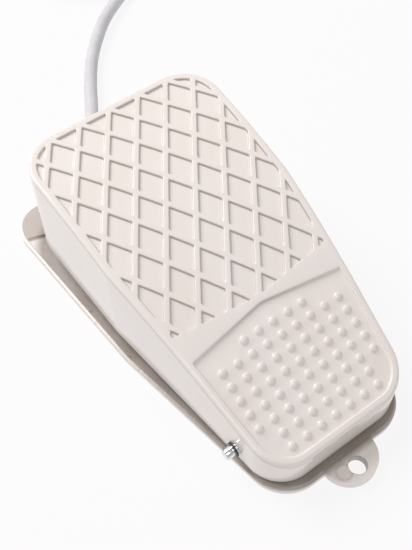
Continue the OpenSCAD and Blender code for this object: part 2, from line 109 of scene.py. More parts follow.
def make_stage():
    """Pale floor, grey room and two soft lights."""
    mesh = bpy.data.meshes.new("floor")
    half = 6
    mesh.from_pydata([(-half, -half, 0), (half, -half, 0), (half, half, 0), (-half, half, 0)],
                     [], [(0, 1, 2, 3)])
    floor = bpy.data.objects.new("floor", mesh)
    scene.collection.objects.link(floor)
    paper = Graph("paper")
    paper.set("Base Color", (0.10, 0.099, 0.10, 1))
    paper.set("Roughness", 0.9)
    paper.set("Specular IOR Level", 0.1)
    paper.set("Emission Color", (1, 0.99, 1, 1))
    paper.set("Emission Strength", 0.86)
    mesh.materials.append(paper.material)
    floor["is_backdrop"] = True
    world = bpy.data.worlds.new("room")
    world.use_nodes = True
    background = world.node_tree.nodes["Background"]
    background.inputs["Color"].default_value = (1.0, 0.995, 0.99, 1)
    background.inputs["Strength"].default_value = 0.5
    scene.world = world
    area_light("key", (-0.45, 1.25, 1.4), 1.1, 28, (1, 0.99, 0.98))
    area_light("front", (-0.4, -0.9, 1.8), 0.8, 6.5, (1, 1, 1))
    scene.view_settings.view_transform = "Standard"


# ------------------------------------------------------------------ shared mesh tools

def as_object(name, shell, body, material, smooth_angle, replaces):
    """A piece from a shell in millimetres."""
    mesh = bpy.data.meshes.new(name)
    mesh.from_pydata([tuple(c * MM for c in v) for v in shell.verts], [], shell.faces)
    mesh.materials.append(material)
    weld = 0.00001
    bm = bmesh.new()
    bm.from_mesh(mesh)
    bmesh.ops.remove_doubles(bm, verts=bm.verts, dist=weld)
    bmesh.ops.recalc_face_normals(bm, faces=bm.faces)
    bm.to_mesh(mesh)
    bm.free()
    return place_mesh(mesh, body, smooth_angle, replaces)


def place_mesh(mesh, body, smooth_angle, replaces):
    """An object for a mesh in metres, smooth but for edges past an angle in degrees."""
    mesh.shade_smooth()
    mesh.set_sharp_from_angle(angle=math.radians(smooth_angle))
    obj = bpy.data.objects.new(mesh.name, mesh)
    scene.collection.objects.link(obj)
    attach(obj, body)
    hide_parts(replaces)
    return obj


class Shell:
    """Points and faces gathered from loops that share their number of points."""

    def __init__(self):
        self.verts, self.faces = [], []

    def loop(self, points):
        start = len(self.verts)
        self.verts.extend([tuple(map(float, p)) for p in points])
        return list(range(start, len(self.verts)))

    def bridge(self, a, b):
        n = len(a)
        for i in range(n):
            j = (i + 1) % n
            self.faces.append((a[i], a[j], b[j], b[i]))

    def stack(self, loops):
        rows = [self.loop(p) for p in loops]
        for a, b in zip(rows, rows[1:]):
            self.bridge(a, b)
        return rows

    def cap(self, row):
        self.faces.append(tuple(row))

    def closed(self, loops):
        """Stacked loops with a face at both ends."""
        rows = self.stack(loops)
        self.cap(rows[0])
        self.cap(rows[-1])

    def fan(self, row, centre):
        mid = self.loop([centre])[0]
        n = len(row)
        for i in range(n):
            self.faces.append((row[i], row[(i + 1) % n], mid))

    def sheet(self, outer, holes, spare, height):
        """Triangles between a closed row and closed holes, with spare points inside."""
        rows = [outer] + holes
        index = [i for row in rows for i in row]
        flat = [Vector(self.verts[i][:2]) for i in index]
        place = {v: k for k, v in enumerate(index)}
        edges = [(place[row[i]], place[row[(i + 1) % len(row)]])
                 for row in rows for i in range(len(row))]
        extra = self.loop([(x, y, height(x, y)) for x, y in spare])
        index += extra
        flat += [Vector(p) for p in spare]
        out = delaunay_2d_cdt(flat, edges, [], 0, 0.0)
        where, rank = [], {}
        for k, (new, old) in enumerate(zip(out[0], out[3])):
            for o in old:
                rank[o] = k
            if old:
                where.append(index[old[0]])
            else:
                where.append(self.loop([(new[0], new[1], height(new[0], new[1]))])[0])
        fixed = {frozenset((rank[a], rank[b])) for a, b in edges}
        rings = [np.array([self.verts[i][:2] for i in row]) for row in rows]
        plan = np.array([tuple(p) for p in out[0]])
        for group in regions([tuple(f) for f in out[2]], fixed):
            corners = plan[np.array(group)]
            u, v = corners[:, 1] - corners[:, 0], corners[:, 2] - corners[:, 0]
            biggest = int(np.argmax(np.abs(u[:, 0] * v[:, 1] - u[:, 1] * v[:, 0])))
            mid = corners[biggest].mean(axis=0)[None]
            if inside(mid, rings[0])[0] and not any(inside(mid, r)[0] for r in rings[1:]):
                for t in group:
                    self.faces.append(tuple(where[k] for k in t))


def circle(n):
    """Points round a circle of radius 1."""
    a = np.arange(n) * 2 * math.pi / n
    return np.column_stack([np.cos(a), np.sin(a)])


def regions(tris, fixed):
    """Triangles grouped by what they reach without crossing a fixed edge."""
    by_edge = {}
    for k, t in enumerate(tris):
        for a, b in ((t[0], t[1]), (t[1], t[2]), (t[2], t[0])):
            by_edge.setdefault(frozenset((a, b)), []).append(k)
    seen = set()
    for first in range(len(tris)):
        if first in seen:
            continue
        seen.add(first)
        group, todo = [], [first]
        while todo:
            t = tris[todo.pop()]
            group.append(t)
            for a, b in ((t[0], t[1]), (t[1], t[2]), (t[2], t[0])):
                edge = frozenset((a, b))
                if edge not in fixed:
                    for other in by_edge[edge]:
                        if other not in seen:
                            seen.add(other)
                            todo.append(other)
        yield group


def inside(points, ring):
    """Which points lie inside a closed ring, by crossings."""
    a, b = ring, np.roll(ring, -1, axis=0)
    x, y = points[:, :1], points[:, 1:2]
    spans = (a[:, 1] > y) != (b[:, 1] > y)
    rise = np.where(b[:, 1] == a[:, 1], 1e-12, b[:, 1] - a[:, 1])
    cut = a[:, 0] + (y - a[:, 1]) * (b[:, 0] - a[:, 0]) / rise
    return (np.sum(spans & (x < cut), axis=1) % 2) == 1


class Outline:
    """A symmetric plan with one bend in each side and four round corners, as in the CAD."""

    def __init__(self, wt, wk, wh, yk, yt, yh, rt, rh):
        self.wk, self.yk, self.yt, self.yh, self.rt, self.rh = wk, yk, yt, yh, rt, rh
        mt, mh = (wt - wk) / (yt - yk), (wk - wh) / (yk - yh)
        et, eh = math.hypot(1, mt), math.hypot(1, mh)
        self.nt, self.nh = np.array([1, -mt]) / et, np.array([1, -mh]) / eh
        ty, hy = yt - rt, yh + rh
        self.ct = np.array([wk + mt * (ty - yk) - rt * et, ty])
        self.ch = np.array([wk - mh * (yk - hy) - rh * eh, hy])

    def ring(self, step, arc, extra):
        """Points and outward directions, anticlockwise from the middle of the heel edge.

        step is in millimetres and arc in degrees; extra are x places on the toe edge.
        """
        pts, out = [], []

        def line(p, q, n, ends=True):
            p, q = np.array(p, float), np.array(q, float)
            k = max(1, int(round(np.linalg.norm(q - p) / step)))
            for i in range(0 if ends else 1, k):
                pts.append(p + (q - p) * i / k)
                out.append(n)

        def bend(c, r, a0, a1):
            k = max(2, int(round((a1 - a0) / arc)))
            for i in range(k + 1):
                a = math.radians(a0 + (a1 - a0) * i / k)
                n = np.array([math.cos(a), math.sin(a)])
                pts.append(np.array(c) + r * n)
                out.append(n)

        ah = math.degrees(math.atan2(self.nh[1], self.nh[0]))
        at = math.degrees(math.atan2(self.nt[1], self.nt[0]))
        line((0, self.yh), (self.ch[0], self.yh), np.array([0, -1]))
        bend(self.ch, self.rh, -90, ah)
        knee = np.array([self.wk, self.yk])
        line(self.ch + self.rh * self.nh, knee, self.nh, False)
        mid = (self.nh + self.nt) / np.linalg.norm(self.nh + self.nt)
        pts.append(knee)
        out.append(mid)
        line(knee, self.ct + self.rt * self.nt, self.nt, False)
        bend(self.ct, self.rt, at, 90)
        cuts = sorted([self.ct[0]] + [x for x in extra if 0 < x < self.ct[0]] + [0], reverse=True)
        for a, b in zip(cuts, cuts[1:]):
            line((a, self.yt), (b, self.yt), np.array([0, 1]), a != self.ct[0])
        pts.append(np.array([0, self.yt]))
        out.append(np.array([0, 1]))
        n = len(pts)
        for i in range(n - 2, 0, -1):
            pts.append(pts[i] * [-1, 1])
            out.append(out[i] * [-1, 1])
        return np.array(pts), np.array(out, float)

    def depth(self, p):
        """How far each point lies inside the outline."""
        q = np.stack([np.abs(p[..., 0]), p[..., 1]], axis=-1)
        knee = np.array([self.wk, self.yk])
        d = np.minimum.reduce([(knee - q) @ self.nt, (knee - q) @ self.nh,
                               self.yt - q[..., 1], q[..., 1] - self.yh])
        for c, r, n, s in ((self.ct, self.rt, self.nt, 1), (self.ch, self.rh, self.nh, -1)):
            v = q - c
            a = v[..., 0] / n[0]
            b = (v[..., 1] - a * n[1]) * s
            d = np.where((a > 0) & (b > 0), r - np.linalg.norm(v, axis=-1), d)
        return d


# ------------------------------------------------------------------ sizes shared with the CAD, mm

PEDAL = Outline(48.4, 46.8, 35.8, 14, 85, -85, 18.5, 17.5)
CROWN_R, CROWN_Y, CROWN_Z, FLAT_Y, FLAT_SLOPE = 355.0, 92.5, -288.3, -41.0, 0.4058
TREAD_DEPTH, WALL = 1.2, 3.0
RIB_W, RIB_X, RIB_Y, RIB_MID = 2.3, 7.7, 10.93, 61.2
TOE_TAPER, HEEL_TAPER = 0.0225, 0.1111
SKIRT_HEEL, SKIRT_TOE = 6.5, 18.1
PIN_R, PIN_HALF, PIN_Y, PIN_Z = 2.5, 43.8664, -61.0, 13.6
SPRING_Y, SPRING_SEAT, SPRING_TOP, SPRING_R, SPRING_WIRE_R = 35.0, 6.05, 53.95, 8.0, 1.0
HOLE_Y, HOLE_R = -94.5, 4.0
LEAD_X, LEAD_Z, LEAD_D = 8.0, 7.7, 7.2


def crown(y):
    """Height of the pedal's upper face."""
    y = np.asarray(y, float)
    arc = CROWN_Z + np.sqrt(CROWN_R ** 2 - (CROWN_Y - np.maximum(y, FLAT_Y)) ** 2)
    return arc - np.maximum(FLAT_Y - y, 0) * FLAT_SLOPE


def crown_cos(y):
    """Cosine of the upper face's slope."""
    slope = np.minimum((CROWN_Y - np.asarray(y, float)) / CROWN_R, 0.376)
    return np.sqrt(1 - slope ** 2)


def skirt(y):
    """Height of the pedal's lower edge."""
    rise = (SKIRT_TOE - SKIRT_HEEL) / (PEDAL.yt - PEDAL.yh)
    return SKIRT_HEEL + (np.asarray(y, float) - PEDAL.yh) * rise


def on_crown(p, sink):
    """Plan points lifted to the upper face, sunk by a depth square to it."""
    p = np.asarray(p, float)
    z = crown(p[:, 1]) - sink / crown_cos(p[:, 1])
    return np.column_stack([p, z])


# ------------------------------------------------------------------ pedal

# tread pocket: distance in from its edge on plan, and depth, from the rib's top to the floor
POCKET = [(-0.32, 0.0), (-0.2, 0.02), (-0.09, 0.09), (-0.01, 0.22), (0.07, 0.45), (0.2, 0.88),
          (0.29, 1.05), (0.42, 1.15), (0.6, 1.19), (0.8, 1.2)]
SOFTEN = 6.0            # how sharply the pockets' corners turn
SMALLEST_POCKET = 0.3   # half the width of the smallest pocket kept


def pocket_depth(p, cell, inset, lines):
    """Rounded distance into a pocket bounded by an inset outline, lines and a rib cell."""
    parts = [PEDAL.depth(p) - inset]
    for (nx, ny), c in lines:
        parts.append(nx * p[..., 0] + ny * p[..., 1] - c)
    if cell is not None:
        i, j = cell
        norm = math.hypot(RIB_X, RIB_Y)
        pitch = 2 * RIB_X * RIB_Y / norm
        a = (RIB_Y * p[..., 0] - RIB_X * (p[..., 1] - RIB_MID)) / norm
        b = (RIB_Y * p[..., 0] + RIB_X * (p[..., 1] - RIB_MID)) / norm
        for value, k in ((a, i), (b, j)):
            parts.append(value - k * pitch - RIB_W / 2)
            parts.append((k + 1) * pitch - RIB_W / 2 - value)
    parts = np.stack(parts)
    low = parts.min(axis=0)
    return low, low - np.log(np.exp(-SOFTEN * (parts - low)).sum(axis=0)) / SOFTEN


def level_ring(centre, angles, level, depth_at):
    """Where rays from the centre meet a depth."""
    u = np.column_stack([np.cos(angles), np.sin(angles)])
    near, far = np.zeros(len(angles)), np.full(len(angles), 90.0)
    for _ in range(34):
        mid = (near + far) / 2
        deep = depth_at(centre + u * mid[:, None]) > level
        near, far = np.where(deep, mid, near), np.where(deep, far, mid)
    return np.round(centre + u * near[:, None], 5)


def even_angles(centre, level, depth_at, step):
    """Directions that space the ring's points evenly."""
    a = np.linspace(0, 2 * math.pi, 721)[:-1]
    ring = level_ring(centre, a, level, depth_at)
    gap = np.linalg.norm(np.roll(ring, -1, axis=0) - ring, axis=1)
    run = np.concatenate([[0], np.cumsum(gap)])
    n = max(14, int(run[-1] / step))
    return np.interp(np.arange(n) / n * run[-1], run, np.append(a, 2 * math.pi))


def pocket_rings(cell, inset, lines, box, step):
    """Rings of one pocket, from its brim down to its floor: [(plan points, depth)], centre."""
    xs = np.linspace(box[0], box[1], 90)
    ys = np.linspace(box[2], box[3], 90)
    grid = np.stack(np.meshgrid(xs, ys), axis=-1).reshape(-1, 2)
    exact, soft = pocket_depth(grid, cell, inset, lines)
    best = int(np.argmax(soft))
    if exact[best] < SMALLEST_POCKET:
        return None, None
    centre, reach = grid[best], soft[best]

    def depth_at(p):
        return pocket_depth(p, cell, inset, lines)[1]

    angles = even_angles(centre, POCKET[0][0], depth_at, step)
    rings = []
    for inward, sink in POCKET:
        if inward > reach - 0.12:
            break
        rings.append((level_ring(centre, angles, inward, depth_at), sink))
    return rings, centre


TREAD_EDGE = [((0.1 * s, 1.0), -24.5) for s in (-1, 1)]
PAD_EDGE = [((0.14433 * s, -1.0), 26.8) for s in (-1, 1)]


def unit_lines(lines):
    """Lines (normal, offset) with their normals made one long."""
    out = []
    for (nx, ny), c in lines:
        size = math.hypot(nx, ny)
        out.append(((nx / size, ny / size), c / size))
    return out


def stud_places():
    """Middles of the heel pad's 66 studs, row by row from the toe side."""
    for row in range(8):
        half = 2 if row == 0 else 4 if row < 6 else 3
        for k in range(-half, half + 1):
            yield 7.6 * k, -35.5 - 6 * row


def pedal_top(shell, brim):
    """Ribs, diamond pockets, plain band, heel pad and studs inside the brim."""
    holes = []
    edge = unit_lines(TREAD_EDGE)
    for i in range(-12, 13):
        for j in range(-12, 13):
            x, y = RIB_X * (i + j + 1), RIB_MID + RIB_Y * (j - i)
            if abs(x) > 60 or not -45 < y < 100:   # well outside the tread
                continue
            box = (x - RIB_X, x + RIB_X, y - RIB_Y, y + RIB_Y)
            rings, centre = pocket_rings((i, j), 3.3, edge, box, 0.75)
            if rings is None or len(rings) < 3:
                continue
            rows = shell.stack([on_crown(p, sink) for p, sink in rings])
            holes.append(rows[0])
            last, sink = rings[-1]
            mid = centre + (last - centre) * 0.5
            inner = shell.loop(on_crown(mid, sink))
            shell.bridge(rows[-1], inner)
            shell.fan(inner, on_crown([centre], sink)[0])
    rings, centre = pocket_rings(None, 3.0, unit_lines(PAD_EDGE), (-20, 20, -70, -45), 0.9)
    rows = shell.stack([on_crown(p, sink) for p, sink in rings])
    holes.append(rows[0])
    pad_studs(shell, rows[-1])
    brims = [np.array([shell.verts[k][:2] for k in h]) for h in holes]
    spare, grid = [], 2.4
    for x in np.arange(-48, 48.1, grid):
        for y in np.arange(-84, 84.1, grid):
            p = np.array([[x, y]])
            if PEDAL.depth(p)[0] < grid:
                continue
            if min(np.min(np.linalg.norm(f - p, axis=1)) for f in brims) < 0.9:
                continue
            if any(inside(p, f)[0] for f in brims):
                continue
            spare.append((x, y))
    shell.sheet(brim, holes, spare, lambda x, y: float(crown(y)))


def pad_studs(shell, rim):
    """Floor of the heel pad, with its round studs."""
    height = 1.1
    profile = [(2.2, 0.0), (2.06, 0.03), (1.97, 0.14), (1.86, 0.34), (1.66, 0.58), (1.36, 0.8),
               (0.95, 0.98), (0.5, 1.07)]
    slant = math.atan(FLAT_SLOPE)
    holes = []
    for x, y in stud_places():
        rows = []
        for r, h in profile:
            p = circle(20) * r * [1, math.cos(slant)] + [x, y + h * math.sin(slant)]
            rows.append(on_crown(p, TREAD_DEPTH - h))
        rows = shell.stack(rows)
        tip = on_crown([[x, y + height * math.sin(slant)]], TREAD_DEPTH - height)[0]
        shell.fan(rows[-1], tip)
        holes.append(rows[0])
    shell.sheet(rim, holes, [], lambda x, y: float(crown(y) - TREAD_DEPTH / crown_cos(y)))


def make_pedal():
    """The pedal casting: skirt with a notch for the lead, crown, tread, pad and inner bosses."""
    shell = Shell()
    notch, notch_edge, notch_top = (LEAD_X - 6, LEAD_X + 6), 0.8, 23
    marks = [notch[0] - notch_edge, notch[0], notch[1], notch[1] + notch_edge]
    pts, out = PEDAL.ring(1.3, 3.5, marks)
    y = pts[:, 1]
    low = skirt(y)
    across = np.minimum(pts[:, 0] - notch[0], notch[1] - pts[:, 0])
    cut = np.clip((across + notch_edge) / notch_edge, 0, 1)
    low = np.where(y > 80, low + (notch_top - low) * cut, low)
    brim_r = 1.2
    loops = []
    for a in (0, 15, 30, 45, 60, 75, 90):
        t = math.radians(a)
        p = pts + out * (-brim_r + brim_r * math.sin(t))
        loops.append(on_crown(p, 0) - [0, 0, brim_r * (1 - math.cos(t))])
    top_z = loops[-1][:, 2]
    outer_r, inner_r, roof_r = 0.32, 0.4, 2
    for f in (0.25, 0.5, 0.75):
        loops.append(np.column_stack([pts, top_z + (low + outer_r - top_z) * f]))
    for d, h in ((0, outer_r), (-0.05, 0.14), (-0.14, 0.05), (-outer_r, 0.0),
                 (-WALL + inner_r, 0.0), (-WALL + 0.1, 0.12), (-WALL, inner_r)):
        loops.append(np.column_stack([pts + out * d, low + h]))
    inner = pts - out * WALL
    start = low + inner_r
    for f in (0.4, 0.8):
        loops.append(np.column_stack([inner, start + (roof(inner[:, 1]) - roof_r - start) * f]))
    for a in (0, 30, 60, 90):
        t = math.radians(a)
        p = pts - out * (WALL + roof_r * (1 - math.cos(t)))
        loops.append(np.column_stack([p, roof(p[:, 1]) - roof_r + roof_r * math.sin(t)]))
    rows = shell.stack(loops)

    spare = [(x, y) for x in np.arange(-40, 41, 8.0) for y in np.arange(-76, 77, 6.0)
             if PEDAL.depth(np.array([[x, y]]))[0] > WALL + 4]
    shell.sheet(rows[-1], [], spare, lambda x, y: float(roof(y)))
    pedal_top(shell, rows[0])
    boss(shell, 0, SPRING_Y, 11.5, 54)
    for side in (-1, 1):
        boss(shell, 25 * side, 68, 6, 30)
        boss(shell, 7 * side, 5, 5, 45)
    as_object("pedal_shell", shell, "pedal", M["pedal"], 38, "pedal_casting")


def roof(y):
    """Height of the pedal's inner face under the crown."""
    return crown(y) - (TREAD_DEPTH + WALL) / crown_cos(y)


def boss(shell, x, y, r, low):
    """Round boss under the crown, its top sunk in the metal."""
    c = circle(32)
    loops = []
    for rr, z in ((r - 0.5, low), (r - 0.15, low + 0.12), (r, low + 0.5)):
        loops.append(np.column_stack([c * rr + [x, y], np.full(len(c), float(z))]))
    for rr, up in ((r, -1.5), (r + 0.4, -0.4), (r + 1.3, 0.35)):
        p = c * rr + [x, y]
        loops.append(np.column_stack([p, roof(p[:, 1]) + up]))
    rows = shell.stack(loops)
    shell.cap(rows[0])
    shell.cap(rows[-1])


# ------------------------------------------------------------------ materials

class Graph:
    """A new Principled material, with short calls for the nodes used here."""

    def __init__(self, name):
        self.material = bpy.data.materials.new(name)
        self.material.use_nodes = True
        tree = self.material.node_tree
        self.nodes, self.links = tree.nodes, tree.links
        self.shader = tree.nodes["Principled BSDF"]

    def set(self, socket, value):
        self.shader.inputs[socket].default_value = value

    def feed(self, socket, value):
        self.links.new(value, self.shader.inputs[socket])

    def coords(self, kind="Object"):
        return self.nodes.new("ShaderNodeTexCoord").outputs[kind]

    def split(self, vector):
        node = self.nodes.new("ShaderNodeSeparateXYZ")
        self.links.new(vector, node.inputs["Vector"])
        return node.outputs["X"], node.outputs["Y"], node.outputs["Z"]

    def noise(self, where, scale, detail, rough=0.55):
        node = self.nodes.new("ShaderNodeTexNoise")
        node.inputs["Scale"].default_value = scale
        node.inputs["Detail"].default_value = detail
        node.inputs["Roughness"].default_value = rough
        self.links.new(where, node.inputs["Vector"])
        return node.outputs["Fac"]

    def ramp(self, value, *stops):
        """Grey ramp between two stops, each (position, grey level)."""
        node = self.nodes.new("ShaderNodeValToRGB")
        for item, (at, grey) in zip(node.color_ramp.elements, stops):
            item.position = at
            item.color = (grey, grey, grey, 1)
        self.links.new(value, node.inputs["Fac"])
        return node.outputs["Color"]

    def fade(self, value, low, high):
        """0 at low and 1 at high; low may be the larger one."""
        node = self.nodes.new("ShaderNodeMapRange")
        node.inputs["From Min"].default_value = low
        node.inputs["From Max"].default_value = high
        self.links.new(value, node.inputs["Value"])
        return node.outputs["Result"]

    def mix(self, factor, a, b):
        """Colour mix; a and b are colours or sockets."""
        node = self.nodes.new("ShaderNodeMix")
        node.data_type = "RGBA"
        self.links.new(factor, node.inputs["Factor"])
        for socket, value in ((node.inputs[6], a), (node.inputs[7], b)):
            if isinstance(value, tuple):
                socket.default_value = (*value, 1)
            else:
                self.links.new(value, socket)
        return node.outputs[2]

    def math(self, kind, a, b=0.0):
        node = self.nodes.new("ShaderNodeMath")
        node.operation = kind
        for socket, value in zip(node.inputs, (a, b)):
            if isinstance(value, (int, float)):
                socket.default_value = value
            else:
                self.links.new(value, socket)
        return node.outputs[0]

    def add(self, a, b):
        return self.math("ADD", a, b)

    def less(self, a, b):
        return self.math("SUBTRACT", a, b)

    def times(self, first, *others):
        for other in others:
            first = self.math("MULTIPLY", first, other)
        return first

    def hypot(self, a, b):
        return self.math("SQRT", self.add(self.times(a, a), self.times(b, b)))

    def bump(self, height, distance):
        node = self.nodes.new("ShaderNodeBump")
        node.inputs["Distance"].default_value = distance
        node.inputs["Strength"].default_value = 1.0
        self.links.new(height, node.inputs["Height"])
        self.feed("Normal", node.outputs["Normal"])


def in_mm(g, where):
    """X, Y and Z of a place, in millimetres, as shader values."""
    return [g.times(axis, 1 / MM) for axis in g.split(where)]


def under_pedal(g, x, y):
    """Distance in from the pedal's outline on plan, in millimetres, as a shader value."""
    sides = [g.add(g.times(y, taper), PEDAL.wk - PEDAL.yk * taper)
             for taper in (TOE_TAPER, HEEL_TAPER)]
    dx = g.less(g.math("MINIMUM", *sides), g.math("ABSOLUTE", x))
    dy = g.less(PEDAL.yt, g.math("ABSOLUTE", y))
    corner_r = 18.0
    qx, qy = (g.math("MAXIMUM", g.less(corner_r, d), 0.0) for d in (dx, dy))
    return g.less(corner_r, g.hypot(qx, qy))


def under_crown(g, y, z):
    """Depth below the pedal's upper face, square to it, in millimetres, as a shader value."""
    lean = g.math("DIVIDE", g.less(CROWN_Y, g.math("MAXIMUM", y, FLAT_Y)), CROWN_R)
    upright = g.math("SQRT", g.less(1.0, g.times(lean, lean)))
    arc = g.add(g.times(upright, CROWN_R), CROWN_Z)
    drop = g.times(g.math("MAXIMUM", g.less(FLAT_Y, y), 0.0), FLAT_SLOPE)
    return g.times(g.less(g.less(arc, drop), z), upright)


def towards_heel(g):
    """How far a surface faces the heel's left, square to one family of ribs."""
    nx, ny, _ = g.split(g.coords("Normal"))
    length = math.hypot(RIB_X, RIB_Y)
    return g.add(g.times(nx, -RIB_Y / length), g.times(ny, -RIB_X / length))


def tread_painted_shade(g, where, tone, gloss):
    """Painted shade on the flanks of the tread pockets, most on flanks facing the heel's left, and
    just under the brim; the flanks are also made rougher.
    """
    x, y, z = in_mm(g, where)
    edge, sunk = under_pedal(g, x, y), under_crown(g, y, z)
    # painted shade on the steep flanks of the tread pockets, not on their floors nor on the heel pad
    flank = g.times(g.fade(sunk, 0.3, 0.6), g.fade(sunk, TREAD_DEPTH, 1.13),
                    g.fade(edge, 2.3, 2.7), g.fade(y, -33.0, -27.0))
    gloss = g.add(gloss, g.times(flank, 0.3))
    # painted shade: flanks facing the heel's left take more of the dark colour than the others
    weight = g.add(g.times(g.fade(towards_heel(g), 0.2, 0.7), 0.38), 0.24)
    tone = g.mix(g.times(flank, weight), tone, SHADE_AND_DIRT)
    # painted shade in a thin band on the wall just under the rounded brim
    brim = g.times(g.fade(sunk, 0.8, 1.4), g.fade(sunk, 3.6, 1.6), g.fade(edge, 0.6, 0.1))
    return g.mix(g.times(brim, 0.36), tone, SHADE_AND_DIRT), gloss


def base_shade_and_dirt(g, where, tone, stain):
    """Painted shade on the base under the skirt, along the flange towards the heel, on the toe ledge
    and in the ear's hole; a dirt ring beside the hole and chips along the rim.
    """
    x, y, z = in_mm(g, where)
    edge = under_pedal(g, x, y)
    # noise that breaks up the painted shade and the dirt ring below
    blotches = g.ramp(g.noise(where, 45, 4), (0.3, 0.7), (0.7, 1))
    # painted shadow under and beside the pedal's skirt
    under_skirt = g.times(g.fade(edge, -7.0, -3.0), g.fade(z, 4.2, 5.5), blotches)
    tone = g.mix(g.times(under_skirt, 0.85), tone, PAINTED_SHADOW)
    # painted shadow on the flange beside the skirt, growing towards the heel
    flange = g.times(g.fade(edge, -6.0, -2.0), g.fade(y, 30.0, -45.0), g.fade(z, 2.4, 3.6), blotches)
    tone = g.mix(g.times(flange, 0.9), tone, PAINTED_SHADOW)
    # painted shade on the toe ledge under the pedal's toe
    ledge = g.times(g.fade(y, 82.0, 83.0), g.fade(z, 6.6, 7.0))
    tone = g.mix(g.times(ledge, 0.58), tone, SHADE_AND_DIRT)
    # painted shade on the wall of the ear's hole
    hole = g.fade(g.hypot(x, g.less(y, HOLE_Y)), HOLE_R + 0.4, HOLE_R + 0.02)
    tone = g.mix(g.times(hole, blotches, 0.75), tone, SHADE_AND_DIRT)
    mark_x, mark_y, mark_r = -6.6, -93.4, 3.4
    off_ring = g.math("ABSOLUTE", g.less(g.hypot(g.less(x, mark_x), g.less(y, mark_y)), mark_r))
    tone = g.mix(g.times(g.fade(off_ring, 0.9, 0.2), blotches, 0.28), tone, SHADE_AND_DIRT)
    rim = g.times(g.fade(edge, -3.2, -1.8), g.fade(edge, 0.5, -0.5))
    chips = g.times(rim, g.ramp(g.noise(where, 420, 3, 0.6), (0.61, 0), (0.65, 1)),
                    g.ramp(g.noise(where, 50, 2), (0.5, 0), (0.6, 1)))
    return g.mix(g.times(chips, 0.75), tone, stain)


def enamel(name, colour, stain, is_base):
    """Gloss cast-metal paint: a slight orange peel, faint clouding, painted shade, a little dirt and
    small chips.
    """
    g = Graph(name)
    where = g.coords()
    cloud = g.ramp(g.noise(where, 28, 3), (0.35, 0), (0.75, 1))
    clouded = tuple(c * k for c, k in zip(colour, (0.98, 0.965, 0.945)))
    tone = g.mix(cloud, colour, clouded)
    speck = g.ramp(g.noise(where, 900, 2, 0.6), (0.72, 0), (0.77, 1))
    patch = g.ramp(g.noise(where, 60, 2), (0.55, 0), (0.68, 1))
    tone = g.mix(g.times(speck, patch, 0.35), tone, stain)
    gloss = g.ramp(g.noise(where, 110, 4, 0.6), (0.3, 0.14), (0.8, 0.22))
    if is_base:
        gloss = g.add(gloss, 0.26)
        tone = base_shade_and_dirt(g, where, tone, stain)
    else:
        tone, gloss = tread_painted_shade(g, where, tone, gloss)
    g.feed("Base Color", tone)
    g.feed("Roughness", gloss)
    g.set("Coat Weight", 0.0 if is_base else 0.12)
    g.set("Coat Roughness", 0.15)
    g.set("Specular IOR Level", 0.5)
    peel, waves = g.noise(where, 420, 2, 0.45), g.noise(where, 70, 2, 0.5)
    g.bump(g.add(peel, g.times(waves, 3.0)), 0.000014)
    return g.material


def metal(name, colour, rough, grain=0.00001):
    """Bare or plated metal with a fine turned or rolled grain and slight tarnish."""
    g = Graph(name)
    where = g.coords()
    fine = g.noise(where, 900, 3)
    tarnish = g.ramp(g.noise(where, 90, 4), (0.45, 0), (0.8, 1))
    g.feed("Base Color", g.mix(tarnish, colour, tuple(c * 0.6 for c in colour)))
    g.set("Metallic", 1.0)
    g.feed("Roughness", g.ramp(fine, (0.2, rough * 0.75), (0.8, rough * 1.4)))
    g.bump(fine, grain)
    return g.material


def moulded(name, colour, rough, grain=0.00003, scale=1500, sheen=0.0):
    """Moulded plastic or rubber: fine skin texture and uneven gloss."""
    g = Graph(name)
    where = g.coords()
    fine = g.noise(where, scale, 3)
    cloud = g.ramp(g.noise(where, 120, 3), (0.35, 0), (0.75, 1))
    g.feed("Base Color", g.mix(cloud, colour, tuple(c * 0.9 for c in colour)))
    g.feed("Roughness", g.ramp(fine, (0.2, rough * 0.85), (0.8, min(1.0, rough * 1.2))))
    g.set("Sheen Weight", sheen)
    g.bump(fine, grain)
    return g.material


CREAM = (0.80, 0.742, 0.715)
BASE_CREAM = (0.79, 0.73, 0.70)
BROWN_STAIN = (0.20, 0.13, 0.085)
# colour of painted shade on the tread flanks, under the brim, on the toe ledge and in the ear's
# hole, and of the dirt ring beside the hole
SHADE_AND_DIRT = (0.30, 0.25, 0.205)
# colour of the painted shadow on the base under and beside the pedal's skirt
PAINTED_SHADOW = (0.22, 0.185, 0.155)
M = {
    "pedal": enamel("pedal_paint", CREAM, BROWN_STAIN, is_base=False),
    "base": enamel("base_paint", BASE_CREAM, BROWN_STAIN, is_base=True),
    "chrome": metal("plated_pin", (0.78, 0.79, 0.80), 0.1, 0.000001),
    "steel": metal("zinc_steel", (0.60, 0.61, 0.62), 0.3),
    "spring": metal("spring_wire", (0.42, 0.43, 0.45), 0.32, 0.000008),
    "clip": metal("blued_steel", (0.07, 0.07, 0.08), 0.3, 0.000006),
    "brass": metal("brass", (0.72, 0.52, 0.24), 0.24, 0.000008),
    "bronze": metal("contact_bronze", (0.66, 0.40, 0.20), 0.26, 0.000006),
    "rubber": moulded("black_rubber", (0.028, 0.027, 0.026), 0.75, 0.00004, 1200, 0.1),
    "case": moulded("switch_bakelite", (0.03, 0.028, 0.027), 0.35),
    "red": moulded("plunger_red", (0.45, 0.05, 0.035), 0.35),
    "dark": moulded("dark_plastic", (0.045, 0.045, 0.05), 0.55),
    "lead": moulded("lead_grey", (0.62, 0.61, 0.63), 0.65, 0.00002, 1400),
    "plug": moulded("plug_grey", (0.57, 0.56, 0.58), 0.45, 0.00003, 1000),
    "brown": moulded("wire_brown", (0.16, 0.07, 0.03), 0.35),
    "blue": moulded("wire_blue", (0.03, 0.10, 0.32), 0.35),
    "green": moulded("wire_green", (0.12, 0.30, 0.05), 0.35),
}
